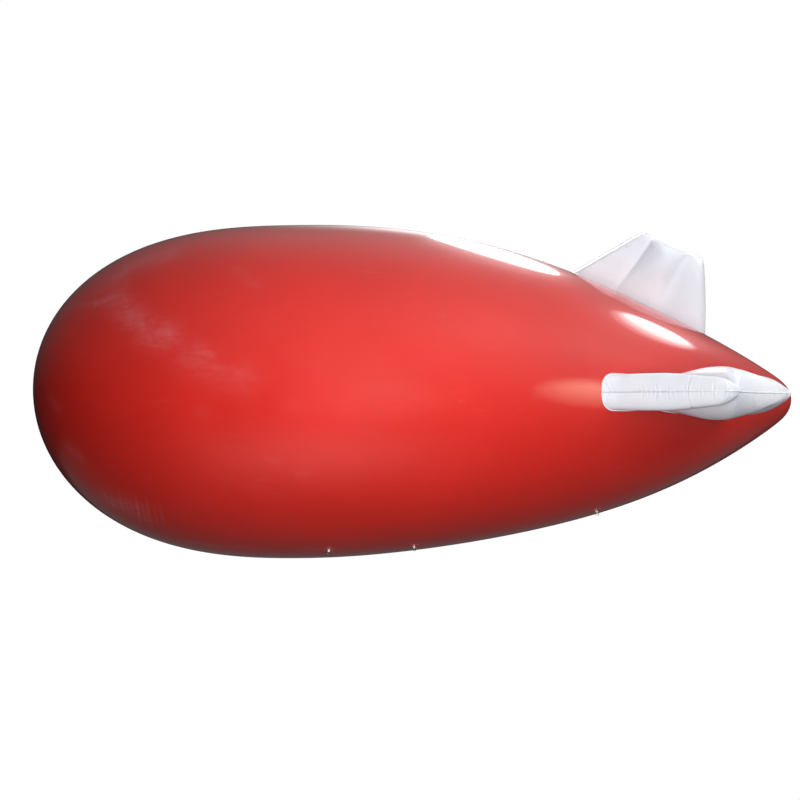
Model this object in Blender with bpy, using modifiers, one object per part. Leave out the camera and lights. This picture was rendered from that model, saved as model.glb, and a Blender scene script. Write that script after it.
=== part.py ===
"""Helium advertising blimp: a red PVC hull of twelve gores and two end caps, three white inflated
tail fins of two skins each, filling valves, and six tether points with free-hanging rings.

Metres, +Z up. The hull's axis is X, nose at -X. Port is -Y. The origin is on the axis at mid length.
Angles around the hull are measured about +X from +Y towards +Z."""

import math

import bmesh
import bpy
import numpy as np
from mathutils import Matrix, Vector

# Hull: two superellipse arcs that meet at the widest station, with a rounded tail tip
LENGTH = 6.0
MAX_RADIUS = 1.32
WIDEST_STATION = 0.351
NOSE_FULLNESS = 2.67
TAIL_FULLNESS = 2.0
TAIL_POINTEDNESS = 1.086
TAIL_OVERRUN = 0.0245
TAIL_ROUNDING = 200.0
# Bend of the hull's axis under its own loads: heights of the 2nd, 3rd and 4th half waves
AXIS_WAVES = (0.0071, -0.0219, 0.0070)

SKIN = 0.010
GAP = 0.0003

GORES = 12
FACETS_PER_GORE = 4
SEAM_OFFSET = math.radians(15.0)
FACETS = GORES * FACETS_PER_GORE
STATIONS = 28
NOSE_CAP_STATION = 0.002
TAIL_CAP_STATION = 0.9965
CAP_RINGS = 3

# Fin outline in its own plane: x along the hull, then the distance from the hull's axis
FIN_ROOT = ((1.06, 0.920), (1.47, 0.770), (1.93, 0.600), (2.318, 0.420))
FIN_BOW = ((0.0, 0.0), (0.010, -0.012), (-0.012, 0.150), (0.0, 0.0))
# The tip, each point after its place across the fin: 0 to 1 leading, 1 to 2 middle, 2 to 3 trailing chamber
FIN_TIP = (
    (0.0, 1.745, 1.331), (0.09, 1.783, 1.350), (0.32, 1.823, 1.358), (0.65, 1.860, 1.346),
    (1.0, 1.886, 1.322), (1.25, 1.972, 1.266), (1.5, 2.056, 1.226), (1.75, 2.140, 1.203),
    (2.0, 2.225, 1.186), (2.45, 2.275, 1.166), (2.88, 2.307, 1.136), (3.0, 2.318, 1.092),
)
FIN_COLUMNS = (
    0.0, 0.02, 0.05, 0.14, 0.32, 0.65, 1.0, 1.25, 1.5, 1.75, 2.0, 2.2, 2.38, 2.6, 2.8, 2.93, 3.0,
)
FIN_ROWS = (0.0, 0.2, 0.38, 0.54, 0.68, 0.8, 0.89, 0.95, 0.985, 1.0)
# Half heights of the fin, at its root and at its tip: its two inner webs, and the crown of each chamber
WEB_HALF = ((0.090, 0.066), (0.098, 0.096))
CROWN_HALF = ((0.120, 0.084), (0.125, 0.174), (0.134, 0.116))
# Shares of the span between which the leading chamber thins, and those between which the middle one fills
LEAD_THINS = (0.5, 1.0)
MIDDLE_FILLS = (0.1, 0.55)
# Share of the leading chamber from where its height falls to that of the web behind it
LEAD_LEVEL = 0.35
# How far in from its edges the fin reaches its full height, and how blunt its front and rear edges are
LEAD_ROUNDING = 0.075
LEAD_BLUNTNESS = 2.4
TRAIL_ROUNDING = 0.22
TRAIL_BLUNTNESS = 2.6
TIP_ROUNDING = (0.11, 0.40)
# Places across the fin between which the tip changes from its front to its rear rounding
TIP_CHANGE = (1.05, 1.8)
FIN_VALVE_COLUMN = 12
FIN_VALVE_ROW = 2

# Tether points: distance along the hull from the origin, and angle below the horizontal
TETHERS = ((-0.658, 60.7), (-0.051, 65.0), (1.305, 62.7))
PATCH_RADIUS = 0.045
PATCH_RISE = 0.0015
PATCH_DEPTH = 0.012
PATCH_EDGE = 0.0005
TAB_LENGTH = 0.016
TAB_FOOT_WIDTH = 0.026
TAB_FOOT_THICK = 0.0025
TAB_WEB_THICK = 0.005
EYE_HEIGHT = 0.012
EYE_OUTER = 0.005
EYE_SIDES = 16
WIRE_RADIUS = 0.002
WIRE_CLEARANCE = 0.0004
RING_HALF_WIDTH = 0.0135
RING_CORNER = 0.003
RING_SIDE = 0.008
CORNER_STEPS = 3
BOW_STEPS = 10

# Helium filling valve on the belly, and the small one on each fin
VALVE_X = 0.95
VALVE_ANGLE = math.radians(-82.0)
VALVE_FLANGE_RADIUS = 0.055
VALVE_FLANGE_RISE = 0.003
VALVE_NECK_RADIUS = 0.026
VALVE_BORE_RADIUS = 0.018
VALVE_NECK_HEIGHT = 0.016
VALVE_CAP_RADIUS = 0.030
VALVE_CAP_HEIGHT = 0.010
VALVE_DEPTH = 0.012
VALVE_EDGE = 0.001
VALVE_CAP_EDGE = 0.0015
SMALL_VALVE_RADIUS = 0.022
SMALL_VALVE_PLUG = 0.011
SMALL_VALVE_HEIGHTS = (0.003, 0.011)
TURNED_STEPS = 24
MERGE_DISTANCE = 0.00001
SHARP_ANGLE = math.radians(30.0)

# Surfaces: colour, roughness and how metallic each is
HULL_FILM = ((0.62, 0.010, 0.018), 0.22, 0.0)
FIN_FILM = ((0.83, 0.85, 0.88), 0.28, 0.0)
VALVE_PLASTIC = ((0.78, 0.79, 0.80), 0.4, 0.0)
VALVE_CAP_PLASTIC = ((0.55, 0.56, 0.58), 0.4, 0.0)
WEBBING = ((0.72, 0.72, 0.72), 0.6, 0.0)
RING_STEEL = ((0.62, 0.62, 0.63), 0.3, 1.0)


def clear_scene():
    for item in list(bpy.data.objects):
        bpy.data.objects.remove(item, do_unlink=True)


def new_collection(name):
    collection = bpy.data.collections.new(name)
    bpy.context.scene.collection.children.link(collection)
    return collection


def surface(name, look):
    colour, roughness, metallic = look
    material = bpy.data.materials.new(name)
    material.use_nodes = True
    shader = material.node_tree.nodes["Principled BSDF"]
    shader.inputs["Base Color"].default_value = (*colour, 1.0)
    shader.inputs["Roughness"].default_value = roughness
    shader.inputs["Metallic"].default_value = metallic
    return material


def add_object(name, data, collection, material=None, matrix=None):
    item = bpy.data.objects.new(name, data)
    collection.objects.link(item)
    if material:
        data.materials.append(material)
    if matrix:
        item.matrix_world = matrix
    return item


def mesh_from(name, points, faces):
    """A mesh with its normals facing out and smooth shading that stays sharp at edges."""
    mesh = bpy.data.meshes.new(name)
    mesh.from_pydata([tuple(p) for p in points], [], faces)
    builder = bmesh.new()
    builder.from_mesh(mesh)
    bmesh.ops.recalc_face_normals(builder, faces=builder.faces)
    if builder.calc_volume(signed=True) < 0.0:
        bmesh.ops.reverse_faces(builder, faces=builder.faces)
    builder.to_mesh(mesh)
    builder.free()
    soften(mesh)
    return mesh


def soften(mesh):
    mesh.shade_smooth()
    mesh.set_sharp_from_angle(angle=SHARP_ANGLE)


def shell_mesh(name, outer, inner):
    """One closed body between two grids of points with the same rows and columns."""
    rows, columns = outer.shape[:2]
    points = np.concatenate([outer.reshape(-1, 3), inner.reshape(-1, 3)])
    half = rows * columns
    faces = []
    for i in range(rows - 1):
        for j in range(columns - 1):
            a = i * columns + j
            quad = (a, a + 1, a + columns + 1, a + columns)
            faces.append(quad)
            faces.append(tuple(half + k for k in reversed(quad)))
    rim = list(range(columns))
    rim += [i * columns + columns - 1 for i in range(1, rows)]
    rim += [(rows - 1) * columns + j for j in range(columns - 2, -1, -1)]
    rim += [i * columns for i in range(rows - 2, 0, -1)]
    for a, b in zip(rim, rim[1:] + rim[:1]):
        faces.append((b, a, half + a, half + b))
    return mesh_from(name, points, faces)


def turned_object(name, profile, axis, steps, collection, material, matrix):
    """A profile of (distance from the axis, place along it) turned once round."""
    if axis == "X":
        points = [(along, away, 0.0) for away, along in profile]
    else:
        points = [(away, 0.0, along) for away, along in profile]
    mesh = bpy.data.meshes.new(name)
    mesh.from_pydata(points, [(i, i + 1) for i in range(len(points) - 1)], [])
    item = add_object(name, mesh, collection, material, matrix)
    turn = item.modifiers.new("Turn", "SCREW")
    turn.axis = axis
    turn.steps = steps
    turn.render_steps = steps
    turn.use_merge_vertices = True
    turn.merge_threshold = MERGE_DISTANCE
    return item


def cut(item, cutter):
    modifier = item.modifiers.new("Seat", "BOOLEAN")
    modifier.operation = "DIFFERENCE"
    modifier.solver = "EXACT"
    modifier.object = cutter


def hull_radius(t):
    """Radius at a share t of the length, counted from the nose."""
    if t < WIDEST_STATION:
        ahead = (WIDEST_STATION - t) / WIDEST_STATION
        return MAX_RADIUS * math.sqrt(max(1.0 - ahead ** NOSE_FULLNESS, 0.0))
    behind = (t - WIDEST_STATION) / (1.0 + TAIL_OVERRUN - WIDEST_STATION)
    taper = (1.0 - behind ** TAIL_FULLNESS) ** (1.0 / TAIL_POINTEDNESS)
    return MAX_RADIUS * taper * math.sqrt(max(1.0 - t ** TAIL_ROUNDING, 0.0))


def axis_height(t):
    return sum(h * math.sin((i + 2) * math.pi * t) for i, h in enumerate(AXIS_WAVES))


def station_x(t):
    return (t - 0.5) * LENGTH


def meridian_angle(t):
    """Slope of the hull's side against its axis, positive where it widens towards the tail."""
    step = 1e-5
    low, high = max(t - step, 0.0), min(t + step, 1.0)
    return math.atan2(hull_radius(high) - hull_radius(low), (high - low) * LENGTH)


def hull_directions(t, angle):
    """Unit vectors at a point of the hull: along it towards the tail, around it, and out of it."""
    slope = meridian_angle(t)
    spoke = Vector((0.0, math.cos(angle), math.sin(angle)))
    along = Vector((math.cos(slope), 0.0, 0.0)) + spoke * math.sin(slope)
    around = Vector((0.0, -math.sin(angle), math.cos(angle)))
    out = Vector((-math.sin(slope), 0.0, 0.0)) + spoke * math.cos(slope)
    return along, around, out


def hull_point(t, angle, out=0.0):
    radius = hull_radius(t)
    place = Vector((station_x(t), radius * math.cos(angle), axis_height(t) + radius * math.sin(angle)))
    return place + hull_directions(t, angle)[2] * out


def hull_stations():
    """Stations from cap to cap, closer together towards both ends."""
    span = TAIL_CAP_STATION - NOSE_CAP_STATION
    shares = [0.5 - 0.5 * math.cos(math.pi * i / (STATIONS - 1)) for i in range(STATIONS)]
    return [NOSE_CAP_STATION + span * share for share in shares]


def gore_grid(index, depth):
    """Points of one gore, its two long edges held half a gap off the seam planes."""
    grid = []
    for t in hull_stations():
        row = []
        for j in range(FACETS_PER_GORE + 1):
            angle = SEAM_OFFSET + (index * FACETS_PER_GORE + j) * 2.0 * math.pi / FACETS
            point = hull_point(t, angle, -depth)
            side = (j == 0) - (j == FACETS_PER_GORE)
            row.append(point + hull_directions(t, angle)[1] * side * GAP / 2.0)
        grid.append(row)
    return np.array(grid)


def make_gores(collection):
    for index in range(GORES):
        name = f"hull_gore_{index + 1:02d}"
        mesh = shell_mesh(name, gore_grid(index, 0.0), gore_grid(index, SKIN))
        add_object(name, mesh, collection, surface(name, HULL_FILM))


def cap_profile(end_station, tip_station):
    """Outer and inner lines of an end cap from its rim to the axis, as (radius, x)."""
    lines = []
    for depth in (0.0, SKIN):
        line = []
        for i in range(CAP_RINGS):
            share = ((CAP_RINGS - i) / CAP_RINGS) ** 2
            t = tip_station + (end_station - tip_station) * share
            along, _, out = hull_directions(t, 0.0)
            towards_tip = 1.0 if tip_station > end_station else -1.0
            step = GAP * towards_tip if i == 0 else 0.0
            place = Vector((station_x(t), hull_radius(t), 0.0))
            place += Vector((along.x, along.y, 0.0)) * step - Vector((out.x, out.y, 0.0)) * depth
            line.append((place.y, place.x))
        inward = 1.0 if tip_station == 0.0 else -1.0
        line.append((0.0, station_x(tip_station) + depth * inward))
        lines.append(line)
    return lines


def make_caps(collection):
    outer, inner = cap_profile(NOSE_CAP_STATION, 0.0)
    place = Matrix.Translation((0.0, 0.0, axis_height(NOSE_CAP_STATION)))
    turned_object("nose_cap", inner[::-1] + outer, "X", FACETS, collection,
                  surface("nose_cap", HULL_FILM), place)
    outer, inner = cap_profile(TAIL_CAP_STATION, 1.0)
    place = Matrix.Translation((0.0, 0.0, axis_height(TAIL_CAP_STATION)))
    turned_object("tail_cap", outer[::-1] + inner, "X", FACETS, collection,
                  surface("tail_cap", HULL_FILM), place)


def make_hull_cutter(collection):
    """The hull as one closed solid, a gap larger than the gores, that seats what lies on it."""
    points, faces = [], []
    stations = hull_stations()
    for t in stations:
        for j in range(FACETS):
            angle = SEAM_OFFSET + j * 2.0 * math.pi / FACETS
            points.append(hull_point(t, angle, GAP))
    for i in range(len(stations) - 1):
        for j in range(FACETS):
            a, b = i * FACETS + j, i * FACETS + (j + 1) % FACETS
            faces.append((a, b, b + FACETS, a + FACETS))
    last = (len(stations) - 1) * FACETS
    faces.append(tuple(range(FACETS)))
    faces.append(tuple(last + j for j in range(FACETS)))
    cutter = add_object("hull_cutter", mesh_from("hull_cutter", points, faces), collection)
    cutter.hide_render = True
    cutter.display_type = "WIRE"
    return cutter


def edge_rise(distance, reach, bluntness=2.0):
    """0 at an edge and 1 from a distance of reach on, along a quarter of a superellipse."""
    inward = np.clip(distance / reach, 0.0, 1.0)
    return (1.0 - (1.0 - inward) ** bluntness) ** (1.0 / bluntness)


def eased(low, high, value):
    """0 below low, 1 above high, and a smooth step between them."""
    share = np.clip((value - low) / (high - low), 0.0, 1.0)
    return share * share * (3.0 - 2.0 * share)


def blend(ends, share):
    return ends[0] + (ends[1] - ends[0]) * share


def between(knots, places):
    """Points at places across the fin, between the lines that bound its chambers."""
    return np.stack([np.interp(places, range(len(knots)), [k[i] for k in knots]) for i in range(2)], -1)


def fin_plan(u, v):
    """Place in the fin's plane at u across it and v from its root to its tip, and its length there."""
    root, bow = between(FIN_ROOT, u), between(FIN_BOW, u)
    tip = np.stack([np.interp(u, [k[0] for k in FIN_TIP], [k[i] for k in FIN_TIP]) for i in (1, 2)], -1)
    along = v[..., None]
    plan = root * (1 - along) + tip * along + bow * 4.0 * along * (1 - along)
    return plan, np.linalg.norm(tip - root, axis=-1)


def fin_half_heights(u, v):
    """Half height of the inflated fin: three chambers between two webs, closed along its edges."""
    bounds = [fin_plan(np.full_like(u, float(k)), v)[0] for k in range(len(FIN_ROOT))]
    lead_width = np.linalg.norm(bounds[1] - bounds[0], axis=-1)
    trail_width = np.linalg.norm(bounds[3] - bounds[2], axis=-1)
    chamber = np.clip(u.astype(int), 0, 2)
    share = u - chamber
    thins, fills = eased(*LEAD_THINS, v), eased(*MIDDLE_FILLS, v)
    front_web, rear_web = blend(WEB_HALF[0], thins), blend(WEB_HALF[1], thins)
    fall = np.clip((share - LEAD_LEVEL) / (1.0 - LEAD_LEVEL), 0.0, 1.0) ** 2
    lead = blend((blend(CROWN_HALF[0], thins), front_web), fall)
    lead *= edge_rise(share * lead_width, LEAD_ROUNDING, LEAD_BLUNTNESS)
    bulge = 4.0 * (blend(CROWN_HALF[1], fills) ** 2 - (front_web ** 2 + rear_web ** 2) / 2.0)
    middle = np.sqrt(blend((front_web ** 2, rear_web ** 2), share) + bulge * share * (1.0 - share))
    trail = blend((rear_web, blend(CROWN_HALF[2], thins)), 4.0 * share * (1.0 - share))
    trail *= edge_rise((1.0 - share) * trail_width, TRAIL_ROUNDING, TRAIL_BLUNTNESS)
    reach = blend(TIP_ROUNDING, eased(*TIP_CHANGE, u))
    return np.choose(chamber, (lead, middle, trail)) * edge_rise((1.0 - v) * fin_plan(u, v)[1], reach)


def fin_surface():
    """One side of the fin's outer skin, as a grid of (x, height off the mid plane, span).

    Rows run from inside the hull to the tip, columns from the leading to the trailing edge."""
    v, u = np.meshgrid(FIN_ROWS, FIN_COLUMNS, indexing="ij")
    plan = fin_plan(u, v)[0]
    return np.stack([plan[..., 0], fin_half_heights(u, v), plan[..., 1]], axis=2)


def grid_normals(grid):
    """Outward unit normals of a fin side, flat in the fin's plane along its seam."""
    down = np.gradient(grid, axis=0)
    across = np.gradient(grid, axis=1)
    normals = np.cross(down, across)
    normals *= np.sign(normals[..., 1:2] + 1e-12)
    for column, tangent in ((0, down[:, 0]), (-1, down[:, -1])):
        normals[:, column] = np.cross(tangent, (0.0, 1.0, 0.0)) * (-1.0 if column else 1.0)
    normals[-1, 1:-1] = np.cross(across[-1, 1:-1], (0.0, 1.0, 0.0))
    normals[-1, 0] = normals[-1, 1] + normals[-2, 0]
    normals[-1, -1] = normals[-1, -2] + normals[-2, -1]
    return normals / np.linalg.norm(normals, axis=2, keepdims=True)


def fin_skin_mesh(name, side):
    """Half of a fin, from its seam plane to its crown on one side (+1 or -1)."""
    outer = fin_surface()
    inner = outer - grid_normals(outer) * SKIN
    inner[..., 1] = np.maximum(inner[..., 1], 0.0)
    outer[..., 1] += GAP / 2.0
    inner[..., 1] += GAP / 2.0
    outer[..., 1] *= side
    inner[..., 1] *= side
    return shell_mesh(name, outer, inner)


def small_valve_profile():
    base, top = SMALL_VALVE_HEIGHTS
    plug = SMALL_VALVE_PLUG
    return [
        (0.0, top),
        (plug - VALVE_EDGE, top),
        (plug, top - VALVE_EDGE),
        (plug, base),
        (SMALL_VALVE_RADIUS - VALVE_EDGE, base),
        (SMALL_VALVE_RADIUS, base - VALVE_EDGE),
        (SMALL_VALVE_RADIUS, 0.0),
        (0.0, 0.0),
    ]


def make_fin(name, turn, skin_names, valve_side, cutter, collection):
    """Two skins and a small valve, turned about the hull's axis to the fin's place."""
    matrix = Matrix.Rotation(turn, 4, "X")
    for side, skin_name in zip((1.0, -1.0), skin_names):
        title = f"{name}_{skin_name}"
        item = add_object(title, fin_skin_mesh(title, side), collection, surface(title, FIN_FILM), matrix)
        cut(item, cutter)
    grid = fin_surface()
    seat = Vector(grid[FIN_VALVE_ROW, FIN_VALVE_COLUMN])
    out = Vector(grid_normals(grid)[FIN_VALVE_ROW, FIN_VALVE_COLUMN])
    seat += out * GAP + Vector((0.0, GAP / 2.0, 0.0))
    seat.y *= valve_side
    out.y *= valve_side
    stand = Matrix.Translation(seat) @ out.to_track_quat("Z", "X").to_matrix().to_4x4()
    title = f"{name}_valve"
    turned_object(title, small_valve_profile(), "Z", TURNED_STEPS, collection,
                  surface(title, VALVE_PLASTIC), matrix @ stand)


def seat_matrix(t, angle, up):
    """Frame on the hull: X along it towards the tail, Z along up, at the surface point."""
    along = hull_directions(t, angle)[0]
    z_axis = (up - along * up.dot(along)).normalized()
    y_axis = z_axis.cross(along)
    turn = Matrix((along, y_axis, z_axis)).transposed().to_4x4()
    return Matrix.Translation(hull_point(t, angle)) @ turn


def disc_profile(radius, low, high, edge, bore=0.0):
    """A disc or ring, top to bottom, with its top edge broken by a small chamfer."""
    return [
        (bore, high),
        (radius - edge, high),
        (radius, high - edge),
        (radius, low),
        (bore, low),
    ]


def ring_profile(radius, low, high, edge, bore):
    profile = disc_profile(radius, low, high, edge, bore)
    return profile + profile[:1]


def tab_curve(name):
    """The tab's foot, web and eye as one flat outline with a hole, drawn out along the hull."""
    foot, web = TAB_FOOT_WIDTH / 2.0, TAB_WEB_THICK / 2.0
    start = math.asin(web / EYE_OUTER)
    outline = [(-foot, 0.0), (foot, 0.0), (foot, TAB_FOOT_THICK), (web, TAB_FOOT_THICK)]
    for i in range(EYE_SIDES):
        angle = -math.pi / 2.0 + start + (2.0 * math.pi - 2.0 * start) * i / (EYE_SIDES - 1)
        outline.append((EYE_OUTER * math.cos(angle), EYE_HEIGHT + EYE_OUTER * math.sin(angle)))
    outline += [(-web, TAB_FOOT_THICK), (-foot, TAB_FOOT_THICK)]
    bore = (WIRE_RADIUS + WIRE_CLEARANCE) / math.cos(math.pi / EYE_SIDES)
    hole = []
    for i in range(EYE_SIDES):
        angle = 2.0 * math.pi * i / EYE_SIDES
        hole.append((bore * math.cos(angle), EYE_HEIGHT + bore * math.sin(angle)))
    curve = bpy.data.curves.new(name, "CURVE")
    curve.dimensions = "2D"
    curve.fill_mode = "BOTH"
    curve.extrude = TAB_LENGTH / 2.0
    for loop in (outline, hole):
        spline = curve.splines.new("POLY")
        spline.points.add(len(loop) - 1)
        spline.use_cyclic_u = True
        for point, (across, height) in zip(spline.points, loop):
            point.co = (across, height, 0.0, 1.0)
    return curve


def ring_curve(name):
    """A D-shaped wire ring hanging from its straight bar, the bar's middle at the origin."""
    wide, corner = RING_HALF_WIDTH, RING_CORNER
    points = []
    for i in range(CORNER_STEPS + 1):
        angle = math.pi / 2.0 * (1.0 - i / CORNER_STEPS)
        points.append((wide - corner + corner * math.cos(angle), -corner + corner * math.sin(angle)))
    for i in range(BOW_STEPS + 1):
        angle = -math.pi * i / BOW_STEPS
        points.append((wide * math.cos(angle), -RING_SIDE + wide * math.sin(angle)))
    for i in range(CORNER_STEPS + 1):
        angle = math.pi - math.pi / 2.0 * i / CORNER_STEPS
        points.append((-wide + corner + corner * math.cos(angle), -corner + corner * math.sin(angle)))
    curve = bpy.data.curves.new(name, "CURVE")
    curve.dimensions = "3D"
    curve.bevel_depth = WIRE_RADIUS
    curve.bevel_resolution = 2
    spline = curve.splines.new("POLY")
    spline.points.add(len(points) - 1)
    spline.use_cyclic_u = True
    for point, (across, height) in zip(spline.points, points):
        point.co = (across, 0.0, height, 1.0)
    return curve


def make_tether(label, x, angle, cutter, collection):
    """A welded patch, a tab with an eye, and a ring that hangs from the eye."""
    t = x / LENGTH + 0.5
    out = hull_directions(t, angle)[2]
    seat = seat_matrix(t, angle, out)
    patch_name, tab_name, ring_name = (f"tether_{kind}_{label}" for kind in ("patch", "tab", "ring"))
    patch = turned_object(patch_name, disc_profile(PATCH_RADIUS, -PATCH_DEPTH, PATCH_RISE, PATCH_EDGE), "Z",
                          TURNED_STEPS, collection, surface(patch_name, HULL_FILM), seat)
    cut(patch, cutter)
    lift = Matrix.Translation((0.0, 0.0, PATCH_RISE + GAP))
    lay = Matrix(((0, 0, 1, 0), (1, 0, 0, 0), (0, 1, 0, 0), (0, 0, 0, 1)))
    add_object(tab_name, tab_curve(tab_name), collection, surface(tab_name, WEBBING), seat @ lift @ lay)
    eye = seat @ Vector((0.0, 0.0, PATCH_RISE + GAP + EYE_HEIGHT))
    hang = seat_matrix(t, angle, Vector((0.0, 0.0, 1.0)))
    hang.translation = eye
    add_object(ring_name, ring_curve(ring_name), collection, surface(ring_name, RING_STEEL), hang)


def make_tethers(cutter, collection):
    for i, (x, below) in enumerate(TETHERS):
        drop = math.radians(below)
        make_tether(f"port_{i + 1}", x, math.pi + drop, cutter, collection)
        make_tether(f"starboard_{i + 1}", x, -drop, cutter, collection)


def make_helium_valve(cutter, collection):
    t = VALVE_X / LENGTH + 0.5
    seat = seat_matrix(t, VALVE_ANGLE, hull_directions(t, VALVE_ANGLE)[2])
    profile = ring_profile(VALVE_FLANGE_RADIUS, -VALVE_DEPTH, VALVE_FLANGE_RISE, VALVE_EDGE,
                           VALVE_NECK_RADIUS + GAP)
    flange = turned_object("helium_valve_flange", profile, "Z", TURNED_STEPS, collection,
                           surface("helium_valve_flange", VALVE_PLASTIC), seat)
    cut(flange, cutter)
    profile = ring_profile(VALVE_NECK_RADIUS, -VALVE_DEPTH, VALVE_NECK_HEIGHT, VALVE_EDGE, VALVE_BORE_RADIUS)
    neck = turned_object("helium_valve_neck", profile, "Z", TURNED_STEPS, collection,
                         surface("helium_valve_neck", VALVE_PLASTIC), seat)
    cut(neck, cutter)
    low = VALVE_NECK_HEIGHT + GAP
    turned_object(
        "helium_valve_cap",
        disc_profile(VALVE_CAP_RADIUS, low, low + VALVE_CAP_HEIGHT, VALVE_CAP_EDGE),
        "Z", TURNED_STEPS, collection, surface("helium_valve_cap", VALVE_CAP_PLASTIC), seat)


def main():
    clear_scene()
    blimp = new_collection("advertising_blimp")
    cutters = new_collection("cutters")
    cutter = make_hull_cutter(cutters)
    make_gores(blimp)
    make_caps(blimp)
    quarter = math.pi / 2.0
    make_fin("fin_top", 0.0, ("skin_starboard", "skin_port"), 1.0, cutter, blimp)
    make_fin("fin_port", quarter, ("skin_upper", "skin_lower"), -1.0, cutter, blimp)
    make_fin("fin_starboard", -quarter, ("skin_lower", "skin_upper"), 1.0, cutter, blimp)
    make_helium_valve(cutter, blimp)
    make_tethers(cutter, blimp)


main()
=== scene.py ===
"""Looks of the helium advertising blimp: glossy red hull, white inflated tail fins, welded tether points
with hanging rings, and filling valves, in a plain pale studio.

Metres, in the row frame: the hull's axis is X, nose at -X, port is -Y, +Z up."""

import math

import bmesh
import bpy
import numpy as np
from mathutils import Matrix, Vector


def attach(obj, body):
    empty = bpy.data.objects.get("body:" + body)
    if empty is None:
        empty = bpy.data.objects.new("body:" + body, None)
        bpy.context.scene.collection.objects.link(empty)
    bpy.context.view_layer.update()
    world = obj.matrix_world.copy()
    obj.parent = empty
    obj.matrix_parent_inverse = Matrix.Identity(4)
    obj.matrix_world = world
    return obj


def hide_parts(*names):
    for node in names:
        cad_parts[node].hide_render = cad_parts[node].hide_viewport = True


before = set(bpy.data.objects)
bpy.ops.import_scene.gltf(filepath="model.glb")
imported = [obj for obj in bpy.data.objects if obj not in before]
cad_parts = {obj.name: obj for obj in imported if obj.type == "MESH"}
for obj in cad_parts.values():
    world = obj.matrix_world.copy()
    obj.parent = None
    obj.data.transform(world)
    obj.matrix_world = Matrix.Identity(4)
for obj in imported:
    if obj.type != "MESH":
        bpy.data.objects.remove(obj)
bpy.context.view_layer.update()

# Hull: two superellipse arcs that meet at the widest station, with a rounded tail tip
LENGTH = 6.0
MAX_RADIUS = 1.32
WIDEST_STATION = 0.351
NOSE_FULLNESS = 2.67
TAIL_FULLNESS = 2.0
TAIL_POINTEDNESS = 1.086
TAIL_OVERRUN = 0.0245
TAIL_ROUNDING = 200.0
AXIS_WAVES = (0.0071, -0.0219, 0.007)

GORES = 12
SEAM_OFFSET = math.radians(15.0)
HULL_COLUMNS = 288
# Length of the net's cells along the hull: on its body, at both ends, and where it is folded
HULL_STEP = 0.03
NOSE_STEP = 0.014
FOLD_STEP = 0.0085
NOSE_FINE = (-2.86, -2.98)
TAIL_FINE = (2.9, 2.985)
FOLD_ZONE = (-2.3, -1.62)
FOLD_ZONE_FADES = (0.08, 0.12)
PROFILE_SAMPLES = 20001
SLOPE_STEP = 6e-5
# Radii of the round caps that close both ends of the hull
CAP_RADII = (0.163, 0.093)
WELD_HALF = 0.006
# Two short creases ahead of the near fin: from and to along the hull, and height above its axis
CREASES = ((0.685, 0.81, 0.028), (0.9, 1.025, 0.023))
CREASE_HALF = 0.0045
CREASE_FADE = 0.03
# Height of the slow waves in the hull's film
HULL_WAVE = 0.00035

# Fin outline in its own plane, as in the solids: x along the hull, then the distance from its axis
FIN_ROOT = ((1.06, 0.92), (1.47, 0.77), (1.93, 0.6), (2.318, 0.42))
FIN_BOW = ((0.0, 0.0), (0.01, -0.012), (-0.012, 0.15), (0.0, 0.0))
FIN_TIP = (
    (0.0, 1.745, 1.331), (0.09, 1.783, 1.35), (0.32, 1.823, 1.358), (0.65, 1.86, 1.346),
    (1.0, 1.886, 1.322), (1.25, 1.972, 1.266), (1.5, 2.056, 1.226), (1.75, 2.14, 1.203),
    (2.0, 2.225, 1.186), (2.45, 2.275, 1.166), (2.88, 2.307, 1.136), (3.0, 2.318, 1.092),
)
# Half heights at its root and at its tip: its two inner webs, and the crown of each chamber
WEB_HALF = ((0.09, 0.066), (0.098, 0.096))
CROWN_HALF = ((0.12, 0.084), (0.125, 0.174), (0.134, 0.116))
# The parts of the span over which the middle chamber fills out and the rest thins
MIDDLE_FILLS = (0.1, 0.55)
REST_THINS = (0.5, 1.0)
# The leading chamber is level up to this share of its width, then falls to the front web
LEAD_LEVEL = 0.35
# Reach and bluntness of the fin's edges: for the leading one, away from the hull and where it meets it
LEAD_ROUNDING = (0.075, 0.098)
LEAD_BLUNTNESS = (2.4, 2.2)
TIP_ROUNDING = (0.11, 0.4)
TRAIL_ROUNDING = 0.22
TRAIL_BLUNTNESS = 2.6
TIP_CHANGE = (1.05, 1.8)
# There it spreads forward: by how much, up to what height, and over what part of its chamber
FOOT_SPREAD = 0.044
FOOT_HEIGHT = 0.085
FOOT_SPREAD_END = 0.6
FIN_ROWS = 210
ROW_CROWDING = 1.35
CHAMBER_COLUMNS = (50, 46, 42)
# Creases over the webs that are rounded off: place across the fin, width and strength
WEB_SOFTENING = ((2.0, 0.16, 1.0), (1.0, 0.05, 0.06))
SOFTENING_PASSES = 18
SEAM_HALF = 0.001
SEAM_FLANGE = 0.004
# The flange round its root: distances from the fin, and heights above the hull
ROOT_FLANGE = ((0.0012, 0.0012), (0.0054, 0.0012), (0.006, 0.00036), (0.006, -0.003))
# Where each fin's filling valve sits: across the fin and along its span
FIN_VALVE_AT = (2.38, 0.38)
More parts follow.
